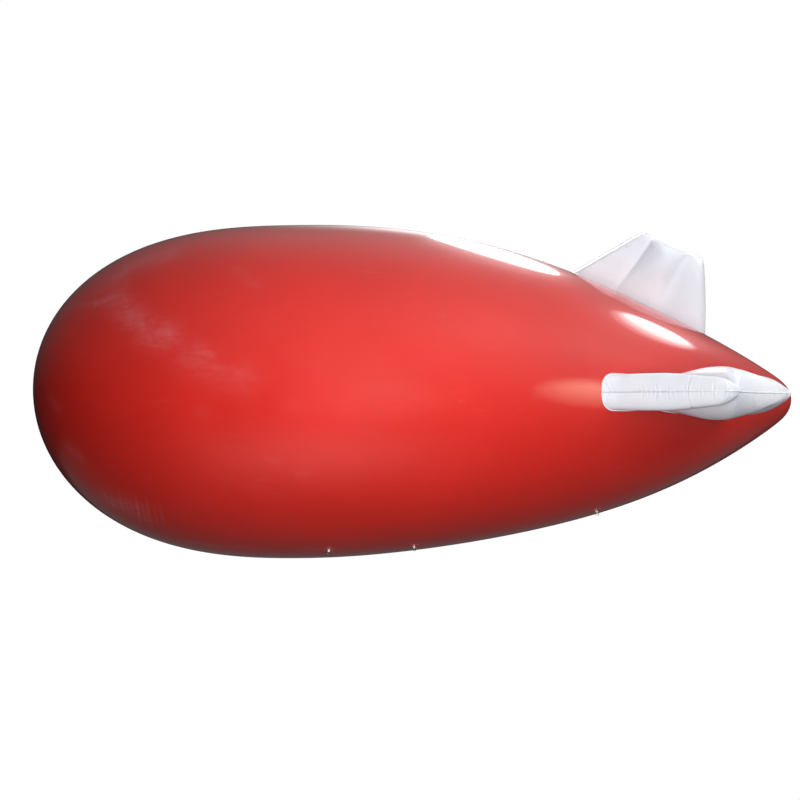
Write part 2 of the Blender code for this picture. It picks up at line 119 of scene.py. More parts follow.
# Puckers across the leading seam: distance from the hull, reach to each side of the seam, depth, lean
LEAD_PUCKERS = (
    (0.145, 0.022, 0.5, 0.3), (0.205, 0.04, 1.0, -0.2), (0.232, 0.03, 1.2, 0.25),
    (0.262, 0.02, 0.7, 0.0), (0.29, 0.046, 1.4, -0.15), (0.312, 0.024, 1.0, 0.35),
    (0.352, 0.04, 1.2, 0.1), (0.376, 0.018, 0.8, -0.4), (0.402, 0.03, 0.7, 0.2),
    (0.452, 0.036, 1.0, -0.1), (0.53, 0.04, 1.2, 0.2), (0.556, 0.022, 0.8, -0.3),
    (0.606, 0.05, 1.6, 0.1), (0.64, 0.026, 0.9, 0.4), (0.668, 0.052, 1.7, -0.1),
    (0.7, 0.036, 1.3, 0.25), (0.722, 0.026, 1.0, -0.3),
)
PUCKER_WIDTH = 0.005
EDGE_PUCKER_WIDTH = 0.006
PUCKER_DEPTH = 0.0024
PUCKER_RIDGE = 0.001
# The line welded across the leading face, its bow towards the hull, its groove and the ridge beside it
CROSS_WELD = 0.487
CROSS_WELD_BOW = 0.02
CROSS_WELD_WIDTH = 0.0042
CROSS_WELD_GROOVE = 0.0028
CROSS_WELD_RIDGE = 0.0022
CROSS_WELD_END = (0.15, 0.115)
# The dent at each end of that line: distance past it, distance from the seam, radius and depth
CORNER_DENT = (0.004, 0.112, 0.014, 0.0034)
# Pinched lines where the leading face meets the hull: place at the seam, slant, strength
PINCHES = ((0.002, 1.9, 1.3), (0.026, 2.4, 0.5))
PINCH_WIDTH = 0.0055
PINCH_DEPTH = 0.0032
PINCH_RIDGE = 0.0018
PINCH_END = (0.12, 0.06)
# Broad tension folds that fan out from the tip's front corner: bearing and strength
TENSION_FOLDS = ((0.62, 0.8), (0.95, 1.0), (1.25, 0.7), (1.62, 0.8), (1.95, 0.6))
TENSION_CORNER = 0.7
TENSION_START = (0.02, 0.09)
TENSION_END = (0.42, 0.1)
TENSION_WIDTH = 0.07
TENSION_HEIGHT = 0.0018
# Height of the slow waves in a fin's film
FIN_WAVE = 0.00045

# Tether points: distance along the hull from the origin, and angle below the horizontal
TETHERS = ((-0.658, 60.7), (-0.051, 65.0), (1.305, 62.7))
PATCH_RADIUS = 0.045
PATCH_RISE = 0.0015
PATCH_STEPS = 72
# Shares of a patch's radius and of its rise: flat, then a welded groove, and a rounded rim
PATCH_PROFILE = (
    (0.4, 1.0), (0.74, 1.0), (0.76, 0.7), (0.78, 0.6), (0.88, 0.6), (0.9, 0.7), (0.92, 1.0),
    (0.97, 1.0), (0.99, 0.75), (1.0, 0.2), (1.0, -1.2),
)
# Clearance between fitted pieces
GAP = 0.0003
# The webbing loop: length along the hull, width of its foot, thickness, and where it bends up
TAB_LENGTH = 0.016
TAB_FOOT = 0.026
TAB_PLY = 0.0022
TAB_BEND_AT = 0.0052
TAB_BEND = 0.0034
TAB_WAIST = ((0.0001, 0.0062), (0.0004, 0.008))
EYE_PLAY = 0.0005
EYE_HEIGHT = 0.012
WIRE_RADIUS = 0.002
RING_HALF_WIDTH = 0.0135
RING_CORNER = 0.003
RING_SIDE = 0.008

# Helium filling valve on the belly
VALVE_X = 0.95
VALVE_ANGLE = math.radians(-82.0)
VALVE_SINK = -0.004
# Radii of its flange, its neck and its bore
VALVE_RADII = (0.055, 0.026, 0.018)
VALVE_FLANGE_RISE = 0.003
VALVE_GROOVES = (0.034, 0.04, 0.046)
VALVE_NECK_HEIGHT = 0.016
VALVE_THREAD_DEPTH = 0.0012
VALVE_THREAD_PITCH = 0.003
VALVE_CAP_RADIUS = 0.03
VALVE_CAP_HEIGHT = 0.01
VALVE_CAP_RIM = (0.009, 0.0105)
VALVE_CAP_DISH = 0.0012
VALVE_CAP_RIBS = (36, 0.0009)
# A fin's small filling valve: distances from its axis and heights
FIN_VALVE_PROFILE = (
    (0.022, -0.003), (0.022, 0.0022), (0.0135, 0.0026), (0.0125, 0.0044), (0.0115, 0.0044),
    (0.011, 0.011), (0.0085, 0.011), (0.008, 0.0102), (0.0, 0.0102),
)
QUARTER = math.pi / 2.0
# Each fin's turn about the hull's axis, its two skins, the side its valve is on, and its random seed
FINS = (
    ("fin_top", 0.0, ("starboard", "port"), 1.0, 11),
    ("fin_port", QUARTER, ("upper", "lower"), -1.0, 23),
    ("fin_starboard", -QUARTER, ("lower", "upper"), 1.0, 35),
)

CAMERA_PLACE = (-0.17, -5.043, -0.181)
CAMERA_PITCH = math.radians(1.48)
CAMERA_ROLL = math.radians(0.93)
SENSOR_WIDTH = 36.0
# The photo's width and focal length in pixels
PHOTO_WIDTH = 800.0
PHOTO_FOCAL = 615.0

# Soft glows in the surroundings: direction, how tightly each is gathered, and brightness
GLOWS = (
    ((0.65, -0.5, 0.55), 4, 0.59),
    ((0.1, -0.8, 0.6), 4, 0.27),
    ((0.0, 0.0, 1.0), 1, 0.15),
    ((1.0, -0.1, 0.1), 2, 0.06),
    ((0.0, 0.0, -1.0), 2, 0.06),
    ((0.06, 0.85, 0.52), 80, 1.6),
    ((0.22, 0.3, 0.92), 7, 0.53),
    ((-0.02, -0.76, -0.65), 16, 0.58),
)
# What the far lower edges mirror, from straight down (0) to straight up (1): a grey floor, then a dark wall
BEHIND_LEVELS = (
    (0.0, 0.02), (0.12, 0.05), (0.24, 0.09), (0.32, 0.1), (0.36, 0.015), (0.5, 0.015), (1.0, 0.04),
)
WHITE = (1.0, 1.0, 1.0)
BLACK = (0.0, 0.0, 0.0)
# Lamps in front of the hull, which its gloss doesn't mirror: place, target, watts
FRONT_LAMP_SIZE = 1.8
FRONT_LAMPS = (
    ("key", (0.3, -4.6, -0.6), (0.1, -1.0, 0.0), 80.0),
    ("near", (-0.4, -3.4, 0.2), (-0.3, -1.0, 0.1), 27.0),
    ("high", (2.5, -4.2, 3.5), (1.0, -0.6, 0.4), 27.0),
    ("side", (4.5, -2.5, 2.5), (2.0, 0.0, 0.6), 55.0),
)
# Skylights, which it does mirror, the last four in layers for a soft edge: place, watts, width, depth,
# degrees turned, and whether it lights the film besides
SKYLIGHTS = (
    ("skylight", (2.1, 3.85, 5.0), 300.0, 2.9, 4.1, 12.0, True),
    ("skylight_aft", (6.95, 1.3, 5.0), 34.0, 2.0, 1.0, 0.0, True),
    ("skylight_edge", (7.0, 1.0, 5.01), 46.0, 2.8, 1.8, 0.0, True),
    ("skylight_blur", (7.1, 0.8, 5.02), 46.0, 3.2, 2.3, 0.0, False),
    ("skylight_haze", (7.1, 0.65, 5.03), 30.0, 3.6, 2.8, 0.0, False),
)
# A warm window to the right, mirrored ahead of the near fin, in layers for its soft edge
WINDOW_PLACE = (4.47, -3.81)
WINDOW_TARGET = (1.0, -1.05, 0.01)
WINDOW_COLOUR = (1.0, 0.86, 0.62)
WINDOW_LAYERS = 7
WINDOW_LEVEL = 4.7
# Width, depth and height above the axis of its first and last layer
WINDOW_SIZES = ((0.7, 2.6), (0.34, 1.75), (0.4, 0.12))

FLOOR_HEIGHT = -2.05
FLOOR_RADIUS = 40.0
DOME_RADIUS = 60.0


def hull_radius(x):
    t = np.clip(x / LENGTH + 0.5, 0.0, 1.0)
    ahead = np.clip((WIDEST_STATION - t) / WIDEST_STATION, 0.0, 1.0)
    behind = np.clip((t - WIDEST_STATION) / (1.0 + TAIL_OVERRUN - WIDEST_STATION), 0.0, 1.0)
    nose = MAX_RADIUS * np.sqrt(np.maximum(1.0 - ahead ** NOSE_FULLNESS, 0.0))
    taper = np.maximum(1.0 - behind ** TAIL_FULLNESS, 0.0) ** (1.0 / TAIL_POINTEDNESS)
    tail = MAX_RADIUS * taper * np.sqrt(np.maximum(1.0 - t ** TAIL_ROUNDING, 0.0))
    return np.where(t < WIDEST_STATION, nose, tail)


def axis_height(x):
    t = x / LENGTH + 0.5
    return sum(h * np.sin(i * math.pi * t) for i, h in enumerate(AXIS_WAVES, 2))


def hull_place(x, angle, out=0.0):
    """Points on the hull at x and an angle about +X from +Y, and their outward normals."""
    x, angle = np.broadcast_arrays(x, angle)
    low, high = np.maximum(x - SLOPE_STEP, -LENGTH / 2.0), np.minimum(x + SLOPE_STEP, LENGTH / 2.0)
    slope = np.arctan2(hull_radius(high) - hull_radius(low), high - low)
    spoke = np.stack([np.zeros_like(x), np.cos(angle), np.sin(angle)], -1)
    normal = spoke * np.cos(slope)[..., None]
    normal[..., 0] = -np.sin(slope)
    place = spoke * hull_radius(x)[..., None]
    place[..., 0] = x
    place[..., 2] += axis_height(x)
    return place + normal * np.asarray(out)[..., None], normal


def bell(value):
    return np.exp(-value ** 2)


def unit(vectors):
    return vectors / np.maximum(np.linalg.norm(vectors, axis=-1, keepdims=True), 1e-12)


def run_along(line):
    """Distance of each point of a flat line from its start, along the line."""
    return np.concatenate([[0.0], np.cumsum(np.hypot(*np.diff(line, axis=0).T))])


def smooth(edge0, edge1, value):
    share = np.clip((value - edge0) / (edge1 - edge0), 0.0, 1.0)
    return share * share * (3.0 - 2.0 * share)


def placed(name, data):
    """A new object in the scene."""
    item = bpy.data.objects.new(name, data)
    bpy.context.scene.collection.objects.link(item)
    return item


def new_mesh(name, points, faces, slot, replaced, body="envelope"):
    """A shaded object from points and faces, its normals facing out, that rides on a body."""
    mesh = bpy.data.meshes.new(name)
    mesh.from_pydata([tuple(map(float, p)) for p in points], [], faces)
    builder = bmesh.new()
    builder.from_mesh(mesh)
    bmesh.ops.recalc_face_normals(builder, faces=builder.faces)
    builder.to_mesh(mesh)
    builder.free()
    mesh.shade_smooth()
    mesh.materials.append(MATERIALS[slot])
    item = placed(name, mesh)
    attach(item, body)
    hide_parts(*replaced)
    return item


def ring_faces(rows, steps, closed=False):
    """Faces between rows of points round a ring, and from the last row to the first if closed."""
    faces = []
    for i in range(rows if closed else rows - 1):
        low, high = i * steps, (i + 1) % rows * steps
        for k in range(steps):
            j = (k + 1) % steps
            faces.append((low + k, low + j, high + j, high + k))
    return faces


def point_values(item, title, values):
    """A value at each point, for the material to read."""
    layer = item.data.attributes.new(title, "FLOAT", "POINT")
    layer.data.foreach_set("value", values.astype(np.float32))


class Nodes:
    """Builds the node tree of a new material, or of a world."""

    def __init__(self, name, kind="materials", place="Object"):
        self.owner = getattr(bpy.data, kind).new(name)
        self.owner.use_nodes = True
        self.tree = self.owner.node_tree
        self.place = self.add("ShaderNodeTexCoord").outputs[place]

    def add(self, kind, inputs=(), **settings):
        """A node, with its inputs in order, or else named in a dict."""
        item = self.tree.nodes.new(kind)
        for key, value in settings.items():
            setattr(item, key, value)
        for key, value in inputs.items() if isinstance(inputs, dict) else enumerate(inputs):
            self.put(item.inputs[key], value)
        return item

    def put(self, socket, value):
        if isinstance(value, bpy.types.NodeSocket):
            self.tree.links.new(value, socket)
        else:
            socket.default_value = (*value, 1.0) if socket.type == "RGBA" else value

    def math(self, operation, *values):
        return self.add("ShaderNodeMath", values, operation=operation).outputs[0]

    def span(self, *values):
        """A smooth step of a value from low to high: from 0 to 1, or between two more values."""
        return self.add("ShaderNodeMapRange", values, interpolation_type="SMOOTHSTEP").outputs[0]

    def scaled(self, value, factor, base):
        return self.math("MULTIPLY_ADD", value, factor, base)

    def times(self, value, *others):
        for other in others:
            value = self.math("MULTIPLY", value, other)
        return value

    def noise(self, scale, detail=2.0, roughness=0.5, distortion=0.0, stretch=None):
        place = self.place
        if stretch:
            place = self.add("ShaderNodeMapping", {"Vector": place, "Scale": stretch}).outputs[0]
        return self.add("ShaderNodeTexNoise", {
            "Vector": place, "Scale": scale, "Detail": detail, "Roughness": roughness,
            "Distortion": distortion}).outputs["Fac"]

    def mix(self, share, low, high):
        return self.add("ShaderNodeMix", {0: share, 6: low, 7: high}, data_type="RGBA").outputs[2]

    def attribute(self, name):
        return self.add("ShaderNodeAttribute", attribute_name=name, attribute_type="GEOMETRY").outputs["Fac"]

    def surface(self, colour, roughness, bumps=(), others=()):
        """The material. Bumps are (height output, distance in metres, strength), one on another."""
        normal = {}
        for height, distance, strength in bumps:
            shape = {"Height": height, "Distance": distance, "Strength": strength, **normal}
            normal = {"Normal": self.add("ShaderNodeBump", shape).outputs[0]}
        values = {"Base Color": colour, "Roughness": roughness, **normal, **dict(others)}
        for name, value in values.items():
            self.put(self.tree.nodes["Principled BSDF"].inputs[name], value)
        return self.owner


def hull_material():
    made = Nodes("hull_film")
    x, y, z = made.add("ShaderNodeSeparateXYZ", [made.place]).outputs
    cloud = made.noise(0.9, 3.0, 0.55)
    colour = made.mix(made.span(cloud, 0.35, 0.7), (0.577, 0.0195, 0.0135), (0.63, 0.0235, 0.0168))
    # Dust and scuffs, with a painted sheen and painted pale fold-ridge highlights below the nose: soft clouds
    # with a few wisps along the hull
    streaks = made.noise(1.0, 6.0, 0.62, 0.8, (3.0, 20.0, 20.0))
    wisps = made.noise(1.3, 8.0, 0.6, 1.0, (5.0, 7.5, 7.5))
    grain = made.scaled(made.span(wisps, 0.28, 0.72), 0.6, 0.42)
    grain = made.times(grain, made.span(streaks, 0.3, 0.7, 0.55, 1.15))
    dust_and_sheen = made.times(made.attribute("scuff_and_sheen"), grain, 0.4)
    film = made.times(made.span(wisps, 0.5, 0.8), made.span(streaks, 0.46, 0.76))
    dust_and_sheen = made.math("MAXIMUM", dust_and_sheen, made.times(film, 0.06))
    # Pale mauve for dust and scuffs, and for the painted sheen and painted highlights on the folds below the
    # nose
    colour = made.mix(dust_and_sheen, colour, (0.66, 0.38, 0.42))
    # Fine pale rub lines on the belly, where the hull lay on the ground
    lines = made.noise(1.0, 4.0, 0.7, 0.0, (0.55, 34.0, 34.0))
    rubs = made.times(made.span(lines, 0.66, 0.74), made.span(z, -0.82, -1.06), 0.34)
    colour = made.mix(rubs, colour, (0.62, 0.3, 0.3))
    rough = made.scaled(made.noise(2.3, 4.0), 0.08, 0.31)
    rough = made.scaled(dust_and_sheen, 0.6, rough)
    rough = made.scaled(rubs, 0.5, rough)
    # Welded strips: along the gores' seams outside the round end caps, and round the caps
    outside = made.attribute("cap")
    edge = WELD_HALF * 1.3, WELD_HALF * 0.9
    weld = made.times(made.span(made.attribute("weld"), *edge), made.span(outside, 0.0, 0.002))
    ring = made.span(made.math("ABSOLUTE", outside), *edge)
    strips = []
    for low, high, height in CREASES:
        strip = made.span(made.math("ABSOLUTE", made.math("SUBTRACT", z, height)), CREASE_HALF, 0.0)
        ends = made.span(x, low, low + CREASE_FADE), made.span(x, high, high - CREASE_FADE)
        strips.append(made.times(strip, *ends))
    crease = made.times(made.math("LESS_THAN", y, 0.0), made.math("MAXIMUM", *strips))
    bumps = (
        (made.noise(1.4, stretch=(1.0, 1.6, 1.6)), 0.01, 0.3),
        (made.math("MAXIMUM", weld, ring), 0.0004, 0.5),
        (made.noise(60.0), 0.0004, 0.08),
        (crease, -0.001, 0.8),
    )
    # A glossy face over a hazier one, as on calendered film
    coat = {"Specular IOR Level": 0.18, "Coat Weight": 1.0, "Coat Roughness": 0.07}
    return made.surface(colour, rough, bumps, coat)


def fin_material():
    made = Nodes("fin_film")
    cloud = made.noise(2.5, 4.0, 0.6)
    colour = made.mix(made.span(cloud, 0.35, 0.7), (0.78, 0.8, 0.875), (0.84, 0.855, 0.905))
    grime = made.noise(1.6, 6.0, 0.6, stretch=(3.0, 9.0, 9.0))
    colour = made.mix(made.span(grime, 0.58, 0.86, 0.0, 0.25), colour, (0.66, 0.66, 0.65))
    rough = made.scaled(made.noise(5.0, 3.0), 0.1, 0.42)
    crinkle = made.noise(1.0, 4.0, 0.55, 0.4, (7.0, 7.0, 7.0))
    bumps = (crinkle, 0.01, 0.22), (made.noise(140.0), 0.0003, 0.1)
    return made.surface(colour, rough, bumps, {"Coat Weight": 0.35, "Coat Roughness": 0.15})


def webbing_material():
    made = Nodes("webbing")
    soil = made.noise(90.0, 5.0, 0.65)
    colour = made.mix(made.span(soil, 0.35, 0.75), (0.74, 0.74, 0.73), (0.5, 0.48, 0.45))
    rough = made.scaled(soil, 0.15, 0.72)
    warp, weft = (
        made.add("ShaderNodeTexWave", {"Vector": made.place, "Scale": scale}, bands_direction=way).outputs[0]
        for scale, way in ((160.0, "X"), (260.0, "Y"))
    )
    bumps = (warp, 0.0004, 0.7), (weft, 0.0003, 0.5), (made.noise(2500.0), 0.0002, 0.4)
    return made.surface(colour, rough, bumps, {"Sheen Weight": 0.25})


def steel_material():
    made = Nodes("ring_steel")
    tarnish = made.noise(160.0, 6.0, 0.6)
    colour = made.mix(made.span(tarnish, 0.45, 0.75), (0.66, 0.66, 0.67), (0.4, 0.38, 0.36))
    rough = made.span(tarnish, 0.35, 0.8, 0.18, 0.45)
    scratches = made.noise(1.0, 3.0, 0.6, stretch=(300.0, 900.0, 300.0))
    return made.surface(colour, rough, [(scratches, 0.0001, 0.35)], {"Metallic": 1.0})


def plastic_material(name, light, dark):
    """Satin moulded plastic, a little yellowed and with patches of dirt."""
    made = Nodes(name)
    cloud = made.noise(26.0, 4.0, 0.6)
    colour = made.mix(made.span(cloud, 0.35, 0.75), light, dark)
    dirt = made.span(made.noise(75.0, 6.0, 0.7), 0.56, 0.8, 0.0, 0.35)
    colour = made.mix(dirt, colour, (0.33, 0.31, 0.28))
    rough = made.scaled(cloud, 0.18, 0.33)
    return made.surface(colour, rough, [(made.noise(700.0), 0.0002, 0.25)])


MATERIALS = {
    "hull_film": hull_material(),
    "fin_film": fin_material(),
    "webbing": webbing_material(),
    "ring_steel": steel_material(),
    "valve_plastic": plastic_material("valve_plastic", (0.8, 0.8, 0.79), (0.7, 0.69, 0.66)),
    "valve_cap_plastic": plastic_material("valve_cap_plastic", (0.56, 0.57, 0.59), (0.47, 0.47, 0.48)),
}


def hull_stations():
    """Places in x spaced along the hull's side: close at the nose and where it is folded."""
    x = -np.cos(np.linspace(0.0, math.pi, PROFILE_SAMPLES)) * LENGTH / 2.0
    run = run_along(np.stack([x, hull_radius(x)], -1))
    step = np.full_like(x, HULL_STEP)
    (low, high), (low_fade, high_fade) = FOLD_ZONE, FOLD_ZONE_FADES
    step += (FOLD_STEP - HULL_STEP) * smooth(low - low_fade, low, x) * smooth(high + high_fade, high, x)
    near_end = np.maximum(smooth(*NOSE_FINE, x), smooth(*TAIL_FINE, x))
    step = np.minimum(step, HULL_STEP + (NOSE_STEP - HULL_STEP) * near_end)
    count = np.concatenate([[0.0], np.cumsum(np.diff(run) / step[1:])])
    wanted = np.linspace(0.0, count[-1], round(count[-1]) + 1)
    return np.interp(wanted, count, x)


def wrapped(angle, period=math.tau):
    """The angle less the whole periods nearest to it."""
    return (angle + period / 2.0) % period - period / 2.0


# Scuffs, and one painted sheen over the folds below the nose: half width in metres, strength, and a line of
# places (x, degrees round the hull)
SCUFFS_AND_SHEEN = [
    (0.12, 0.42, (-2.14, 140.0), (-2.04, 135.7), (-1.93, 133.7), (-1.8, 133.0)),
    (0.1, 0.34, (-2.16, 144.0), (-2.06, 141.0)),
    (0.034, 0.42, (-2.1, 137.8), (-2.02, 138.1)),
    (0.034, 0.45, (-1.86, 133.5), (-1.78, 133.2)),
    (0.1, 0.3, (-2.06, 142.0), (-2.05, 150.0)),
    (0.034, 0.55, (-2.19, 151.2), (-2.12, 151.0), (-2.03, 150.9)),
    (0.09, 0.46, (-2.07, 150.8), (-1.99, 154.5), (-1.89, 158.5), (-1.81, 162.2), (-1.72, 165.0),
     (-1.62, 166.6)),
    (0.04, 0.42, (-1.72, 167.6), (-1.63, 167.4), (-1.58, 165.6)),
    (0.034, 0.26, (-2.54, 144.4), (-2.34, 149.4), (-2.19, 150.7)),
    (0.034, 0.3, (-1.58, 167.7), (-1.46, 170.4), (-1.32, 172.2)),
    (0.05, 0.18, (-1.53, 168.7), (-1.37, 170.0)),
    (0.03, 0.28, (-1.3, 176.0), (-1.16, 177.1), (-1.05, 178.5)),
    (0.11, 0.2, (-1.46, 172.9), (-1.3, 176.8), (-1.14, 179.0)),
    (0.036, 0.14, (-1.25, 144.7), (-1.1, 151.1)),
    (0.042, 0.1, (-0.85, 185.6), (-0.78, 186.5)),
    (0.024, 0.13, (-0.99, 200.5), (-0.92, 201.5)),
    (0.024, 0.15, (-0.8, 205.3), (-0.74, 204.8)),
    (0.03, 0.12, (-1.39, 187.2), (-1.34, 187.5)),
    (0.036, 0.24, (-2.38, 204.3), (-2.26, 206.3)),
    (0.03, 0.24, (-2.43, 223.7), (-2.32, 223.9)),
    (0.036, 0.24, (-2.51, 185.7), (-2.43, 189.2)),
    # Not a scuff: a painted sheen, the pale mauve reflection over the folds below the nose
    (0.1, 0.42, (-2.28, 225.5), (-2.12, 223.5), (-1.96, 224.0)),
    (0.03, 0.4, (-1.65, 237.5), (-1.42, 239.4)),
    (0.026, 0.3, (-1.3, 237.5), (-1.13, 239.4)),
    (0.024, 0.25, (-0.86, 239.4), (-0.68, 240.1)),
]
HIDDEN_SCUFFS = 34


def hidden_scuffs():
    """More scuffs of the same kind, on the sides that the photo doesn't show."""
    rng = np.random.default_rng(21)
    made = []
    for _ in range(HIDDEN_SCUFFS):
        x, turn = rng.uniform(-2.5, 1.9), rng.uniform(-105.0, 112.0)
        line = [(x, turn)]
        for _ in range(rng.integers(1, 4)):
            x, turn = x + rng.uniform(0.06, 0.13), turn + rng.uniform(-3.0, 3.0)
            line.append((x, turn))
        made.append((rng.uniform(0.026, 0.07), rng.uniform(0.2, 0.6), *line))
    return made


def scuff_and_sheen_strength(x, angle):
    """0 to 1, how scuffed the film is at each place, with the painted sheen over the folds below the nose."""
    radius = hull_radius(x)
    total = np.zeros(x.shape)
    for half_width, strength, *line in SCUFFS_AND_SHEEN + hidden_scuffs():
        for (x0, turn0), (x1, turn1) in zip(line, line[1:]):
            across, along = wrapped(angle - math.radians(turn0)) * radius, x - x0
            run_x, run_y = x1 - x0, math.radians(turn1 - turn0) * hull_radius(x0)
            share = np.clip((along * run_x + across * run_y) / (run_x ** 2 + run_y ** 2), 0.0, 1.0)
            gap = np.hypot(along - share * run_x, across - share * run_y)
            total = np.maximum(total, strength * bell(gap / half_width))
    return total


# Folds across the seam below the nose: x at the seam, lean over FOLD_RUN, strength, reach up and down
FOLD_RUN = 0.2
FOLD_WIDTH = 0.0095
FOLD_HEIGHT = 0.0013
FOLD_VALLEY = 0.55
FOLD_VALLEY_AT = 1.7
# Degrees round the hull: the folded seam that the photo shows, and the side on which it shows no others
SHOWN_SEAM = 225.0
SHOWN_SIDE = (100.0, 260.0)
NOSE_FOLDS = (
    (-2.215, -0.034, 0.5, 0.12, 0.1), (-2.17, -0.03, 0.9, 0.15, 0.13), (-2.125, -0.036, 1.3, 0.16, 0.15),
    (-2.09, -0.03, 0.8, 0.11, 0.14), (-2.05, -0.034, 1.2, 0.15, 0.15), (-2.01, -0.026, 0.9, 0.12, 0.17),
    (-1.975, -0.034, 0.7, 0.12, 0.13), (-1.93, -0.036, 1.3, 0.17, 0.18), (-1.885, -0.03, 0.9, 0.14, 0.15),
    (-1.85, -0.034, 1.2, 0.17, 0.17), (-1.8, -0.026, 0.7, 0.13, 0.13), (-1.757, -0.03, 0.6, 0.14, 0.14),
)


def hull_relief(x, angle):
    """Height of the folds and slow waves on the ideal hull, and the strength of the painted pale highlight
    along each fold's ridge.
    """
    rng = np.random.default_rng(7)
    relief = np.zeros(np.broadcast(x, angle).shape)
    painted_fold_highlight = np.zeros_like(relief)
    for _ in range(6):
        along, around = rng.uniform(0.6, 1.6), rng.integers(2, 7)
        phase = rng.uniform(0.0, math.tau, 2)
        relief += HULL_WAVE * np.sin(along * math.pi * x + phase[0]) * np.cos(around * angle + phase[1])
    radius = hull_radius(x)
    for gore in range(GORES):
        seam = SEAM_OFFSET + gore * math.tau / GORES
        arc = wrapped(angle - seam) * radius
        shown = abs(math.degrees(seam) - SHOWN_SEAM) < 1.0
        strength = 1.0 if shown else rng.uniform(0.25, 0.55)
        if SHOWN_SIDE[0] < math.degrees(seam) < SHOWN_SIDE[1] and not shown:
            strength = 0.0
        for place, lean, depth, up, down in NOSE_FOLDS:
            shift = 0.0 if shown else rng.uniform(-0.02, 0.02)
            drop = arc if math.cos(seam) < 0 else -arc
            centre = place + shift + lean * drop / FOLD_RUN
            reach = np.where(drop > 0, down, up)
            body = np.exp(-(arc / reach) ** 4)
            across = (x - centre) / FOLD_WIDTH
            ridge, valley = body * bell(across), body * bell(across - FOLD_VALLEY_AT)
            relief += strength * depth * FOLD_HEIGHT * (ridge - FOLD_VALLEY * valley)
            # A painted pale highlight along the fold's ridge, in place of its reflection
            painted_fold_highlight = np.maximum(painted_fold_highlight, strength * min(depth, 1.5) * ridge)
    return relief * smooth(-3.0, -2.9, x) * smooth(3.0, 2.9, x), painted_fold_highlight


def make_hull():
    x = hull_stations()[1:-1]
    angle = SEAM_OFFSET + np.arange(HULL_COLUMNS) * math.tau / HULL_COLUMNS
    grid_x, grid_angle = np.meshgrid(x, angle, indexing="ij")
    relief, painted_fold_highlight = hull_relief(grid_x, grid_angle)
    places, _ = hull_place(grid_x, grid_angle, relief)
    girth = hull_radius(grid_x)
    weld = np.abs(wrapped(grid_angle - SEAM_OFFSET, math.tau / GORES)) * girth
    # Dust and scuffs, the painted sheen, and the painted fold-ridge highlights, for the material to mix in
    scuff_and_sheen = np.minimum(scuff_and_sheen_strength(grid_x, grid_angle) + 0.3 * painted_fold_highlight, 1.0)
    outside_cap = girth - np.where(grid_x < 0.0, *CAP_RADII)
    points = list(places.reshape(-1, 3))
    wide = HULL_COLUMNS
    faces = ring_faces(len(x), wide)
    for end, first in ((-LENGTH / 2.0, 0), (LENGTH / 2.0, len(points) - wide)):
        faces += [(first + j, first + (j + 1) % wide, len(points)) for j in range(wide)]
        points.append((end, 0.0, axis_height(end)))
    replaced = [f"hull_gore_{i + 1:02d}" for i in range(GORES)] + ["nose_cap", "tail_cap"]
    hull = new_mesh("hull_skin", points, faces, "hull_film", replaced)
    for title, values, at_tips in (("weld", weld, 1.0), ("cap", outside_cap, -1.0), ("scuff_and_sheen", scuff_and_sheen, 0.0)):
        point_values(hull, title, np.concatenate([values.ravel(), [at_tips, at_tips]]))


def through(knots, u):
    """A smooth curve of cubic pieces through rows of (u, values)."""
    knots = np.asarray(knots, float)
    at, value = knots[:, 0], knots[:, 1:]
    slope = np.gradient(value, at, axis=0)
    index = np.clip(np.searchsorted(at, u, side="right") - 1, 0, len(at) - 2)
    width = (at[index + 1] - at[index])[:, None]
    share = ((u - at[index])[:, None]) / width
    low, high = value[index], value[index + 1]
    slope_low, slope_high = slope[index] * width, slope[index + 1] * width
    square, cube = share ** 2, share ** 3
    return (low * (2 * cube - 3 * square + 1) + slope_low * (cube - 2 * square + share)
            + high * (3 * square - 2 * cube) + slope_high * (cube - square))


def linear_knots(knots, u):
    return np.stack([np.interp(u, range(len(knots)), column) for column in zip(*knots)], -1)


def edge_rise(distance, reach, power=2.0):
    """From 0 at an edge to 1 at a distance of reach, along a superellipse."""
    return (1.0 - (1.0 - np.clip(distance / reach, 0.0, 1.0)) ** power) ** (1.0 / power)


def blend(ends, share):
    return ends[0] + (ends[1] - ends[0]) * share


def fin_half_height(u, v, chamber_widths, span, foot):
    """Half height of the inflated fin: three crowned chambers parted by two webs."""
    chamber = np.clip(u.astype(int), 0, 2)
    share = u - chamber
    thins, fills = smooth(*REST_THINS, v), smooth(*MIDDLE_FILLS, v)
    front_web, rear_web = blend(WEB_HALF[0], thins), blend(WEB_HALF[1], thins)
    fall = np.clip((share - LEAD_LEVEL) / (1.0 - LEAD_LEVEL), 0.0, 1.0) ** 2
    lead = blend((blend(CROWN_HALF[0], thins), front_web), fall)
    lead *= edge_rise(share * chamber_widths[0], blend(LEAD_ROUNDING, foot), blend(LEAD_BLUNTNESS, foot))
    bulge = 4.0 * (blend(CROWN_HALF[1], fills) ** 2 - (front_web ** 2 + rear_web ** 2) / 2.0)
    middle = np.sqrt(blend((front_web ** 2, rear_web ** 2), share) + bulge * share * (1.0 - share))
    trail = blend((rear_web, blend(CROWN_HALF[2], thins)), 4.0 * share * (1.0 - share))
    trail *= edge_rise((1.0 - share) * chamber_widths[2], TRAIL_ROUNDING, TRAIL_BLUNTNESS)
    height = np.choose(chamber, (lead, middle, trail))
    reach = blend(TIP_ROUNDING, smooth(*TIP_CHANGE, u))
    return height * edge_rise((1.0 - v) * span, reach)


def fin_columns():
    lead, middle, trail = CHAMBER_COLUMNS
    first = 1.0 - np.cos(np.linspace(0.0, QUARTER, lead + 1))
    second = 1.0 + np.linspace(0.0, 1.0, middle + 1)[1:]
    third = 2.0 + np.sin(np.linspace(0.0, QUARTER, trail + 1))[1:]
    return np.concatenate([first, second, third])


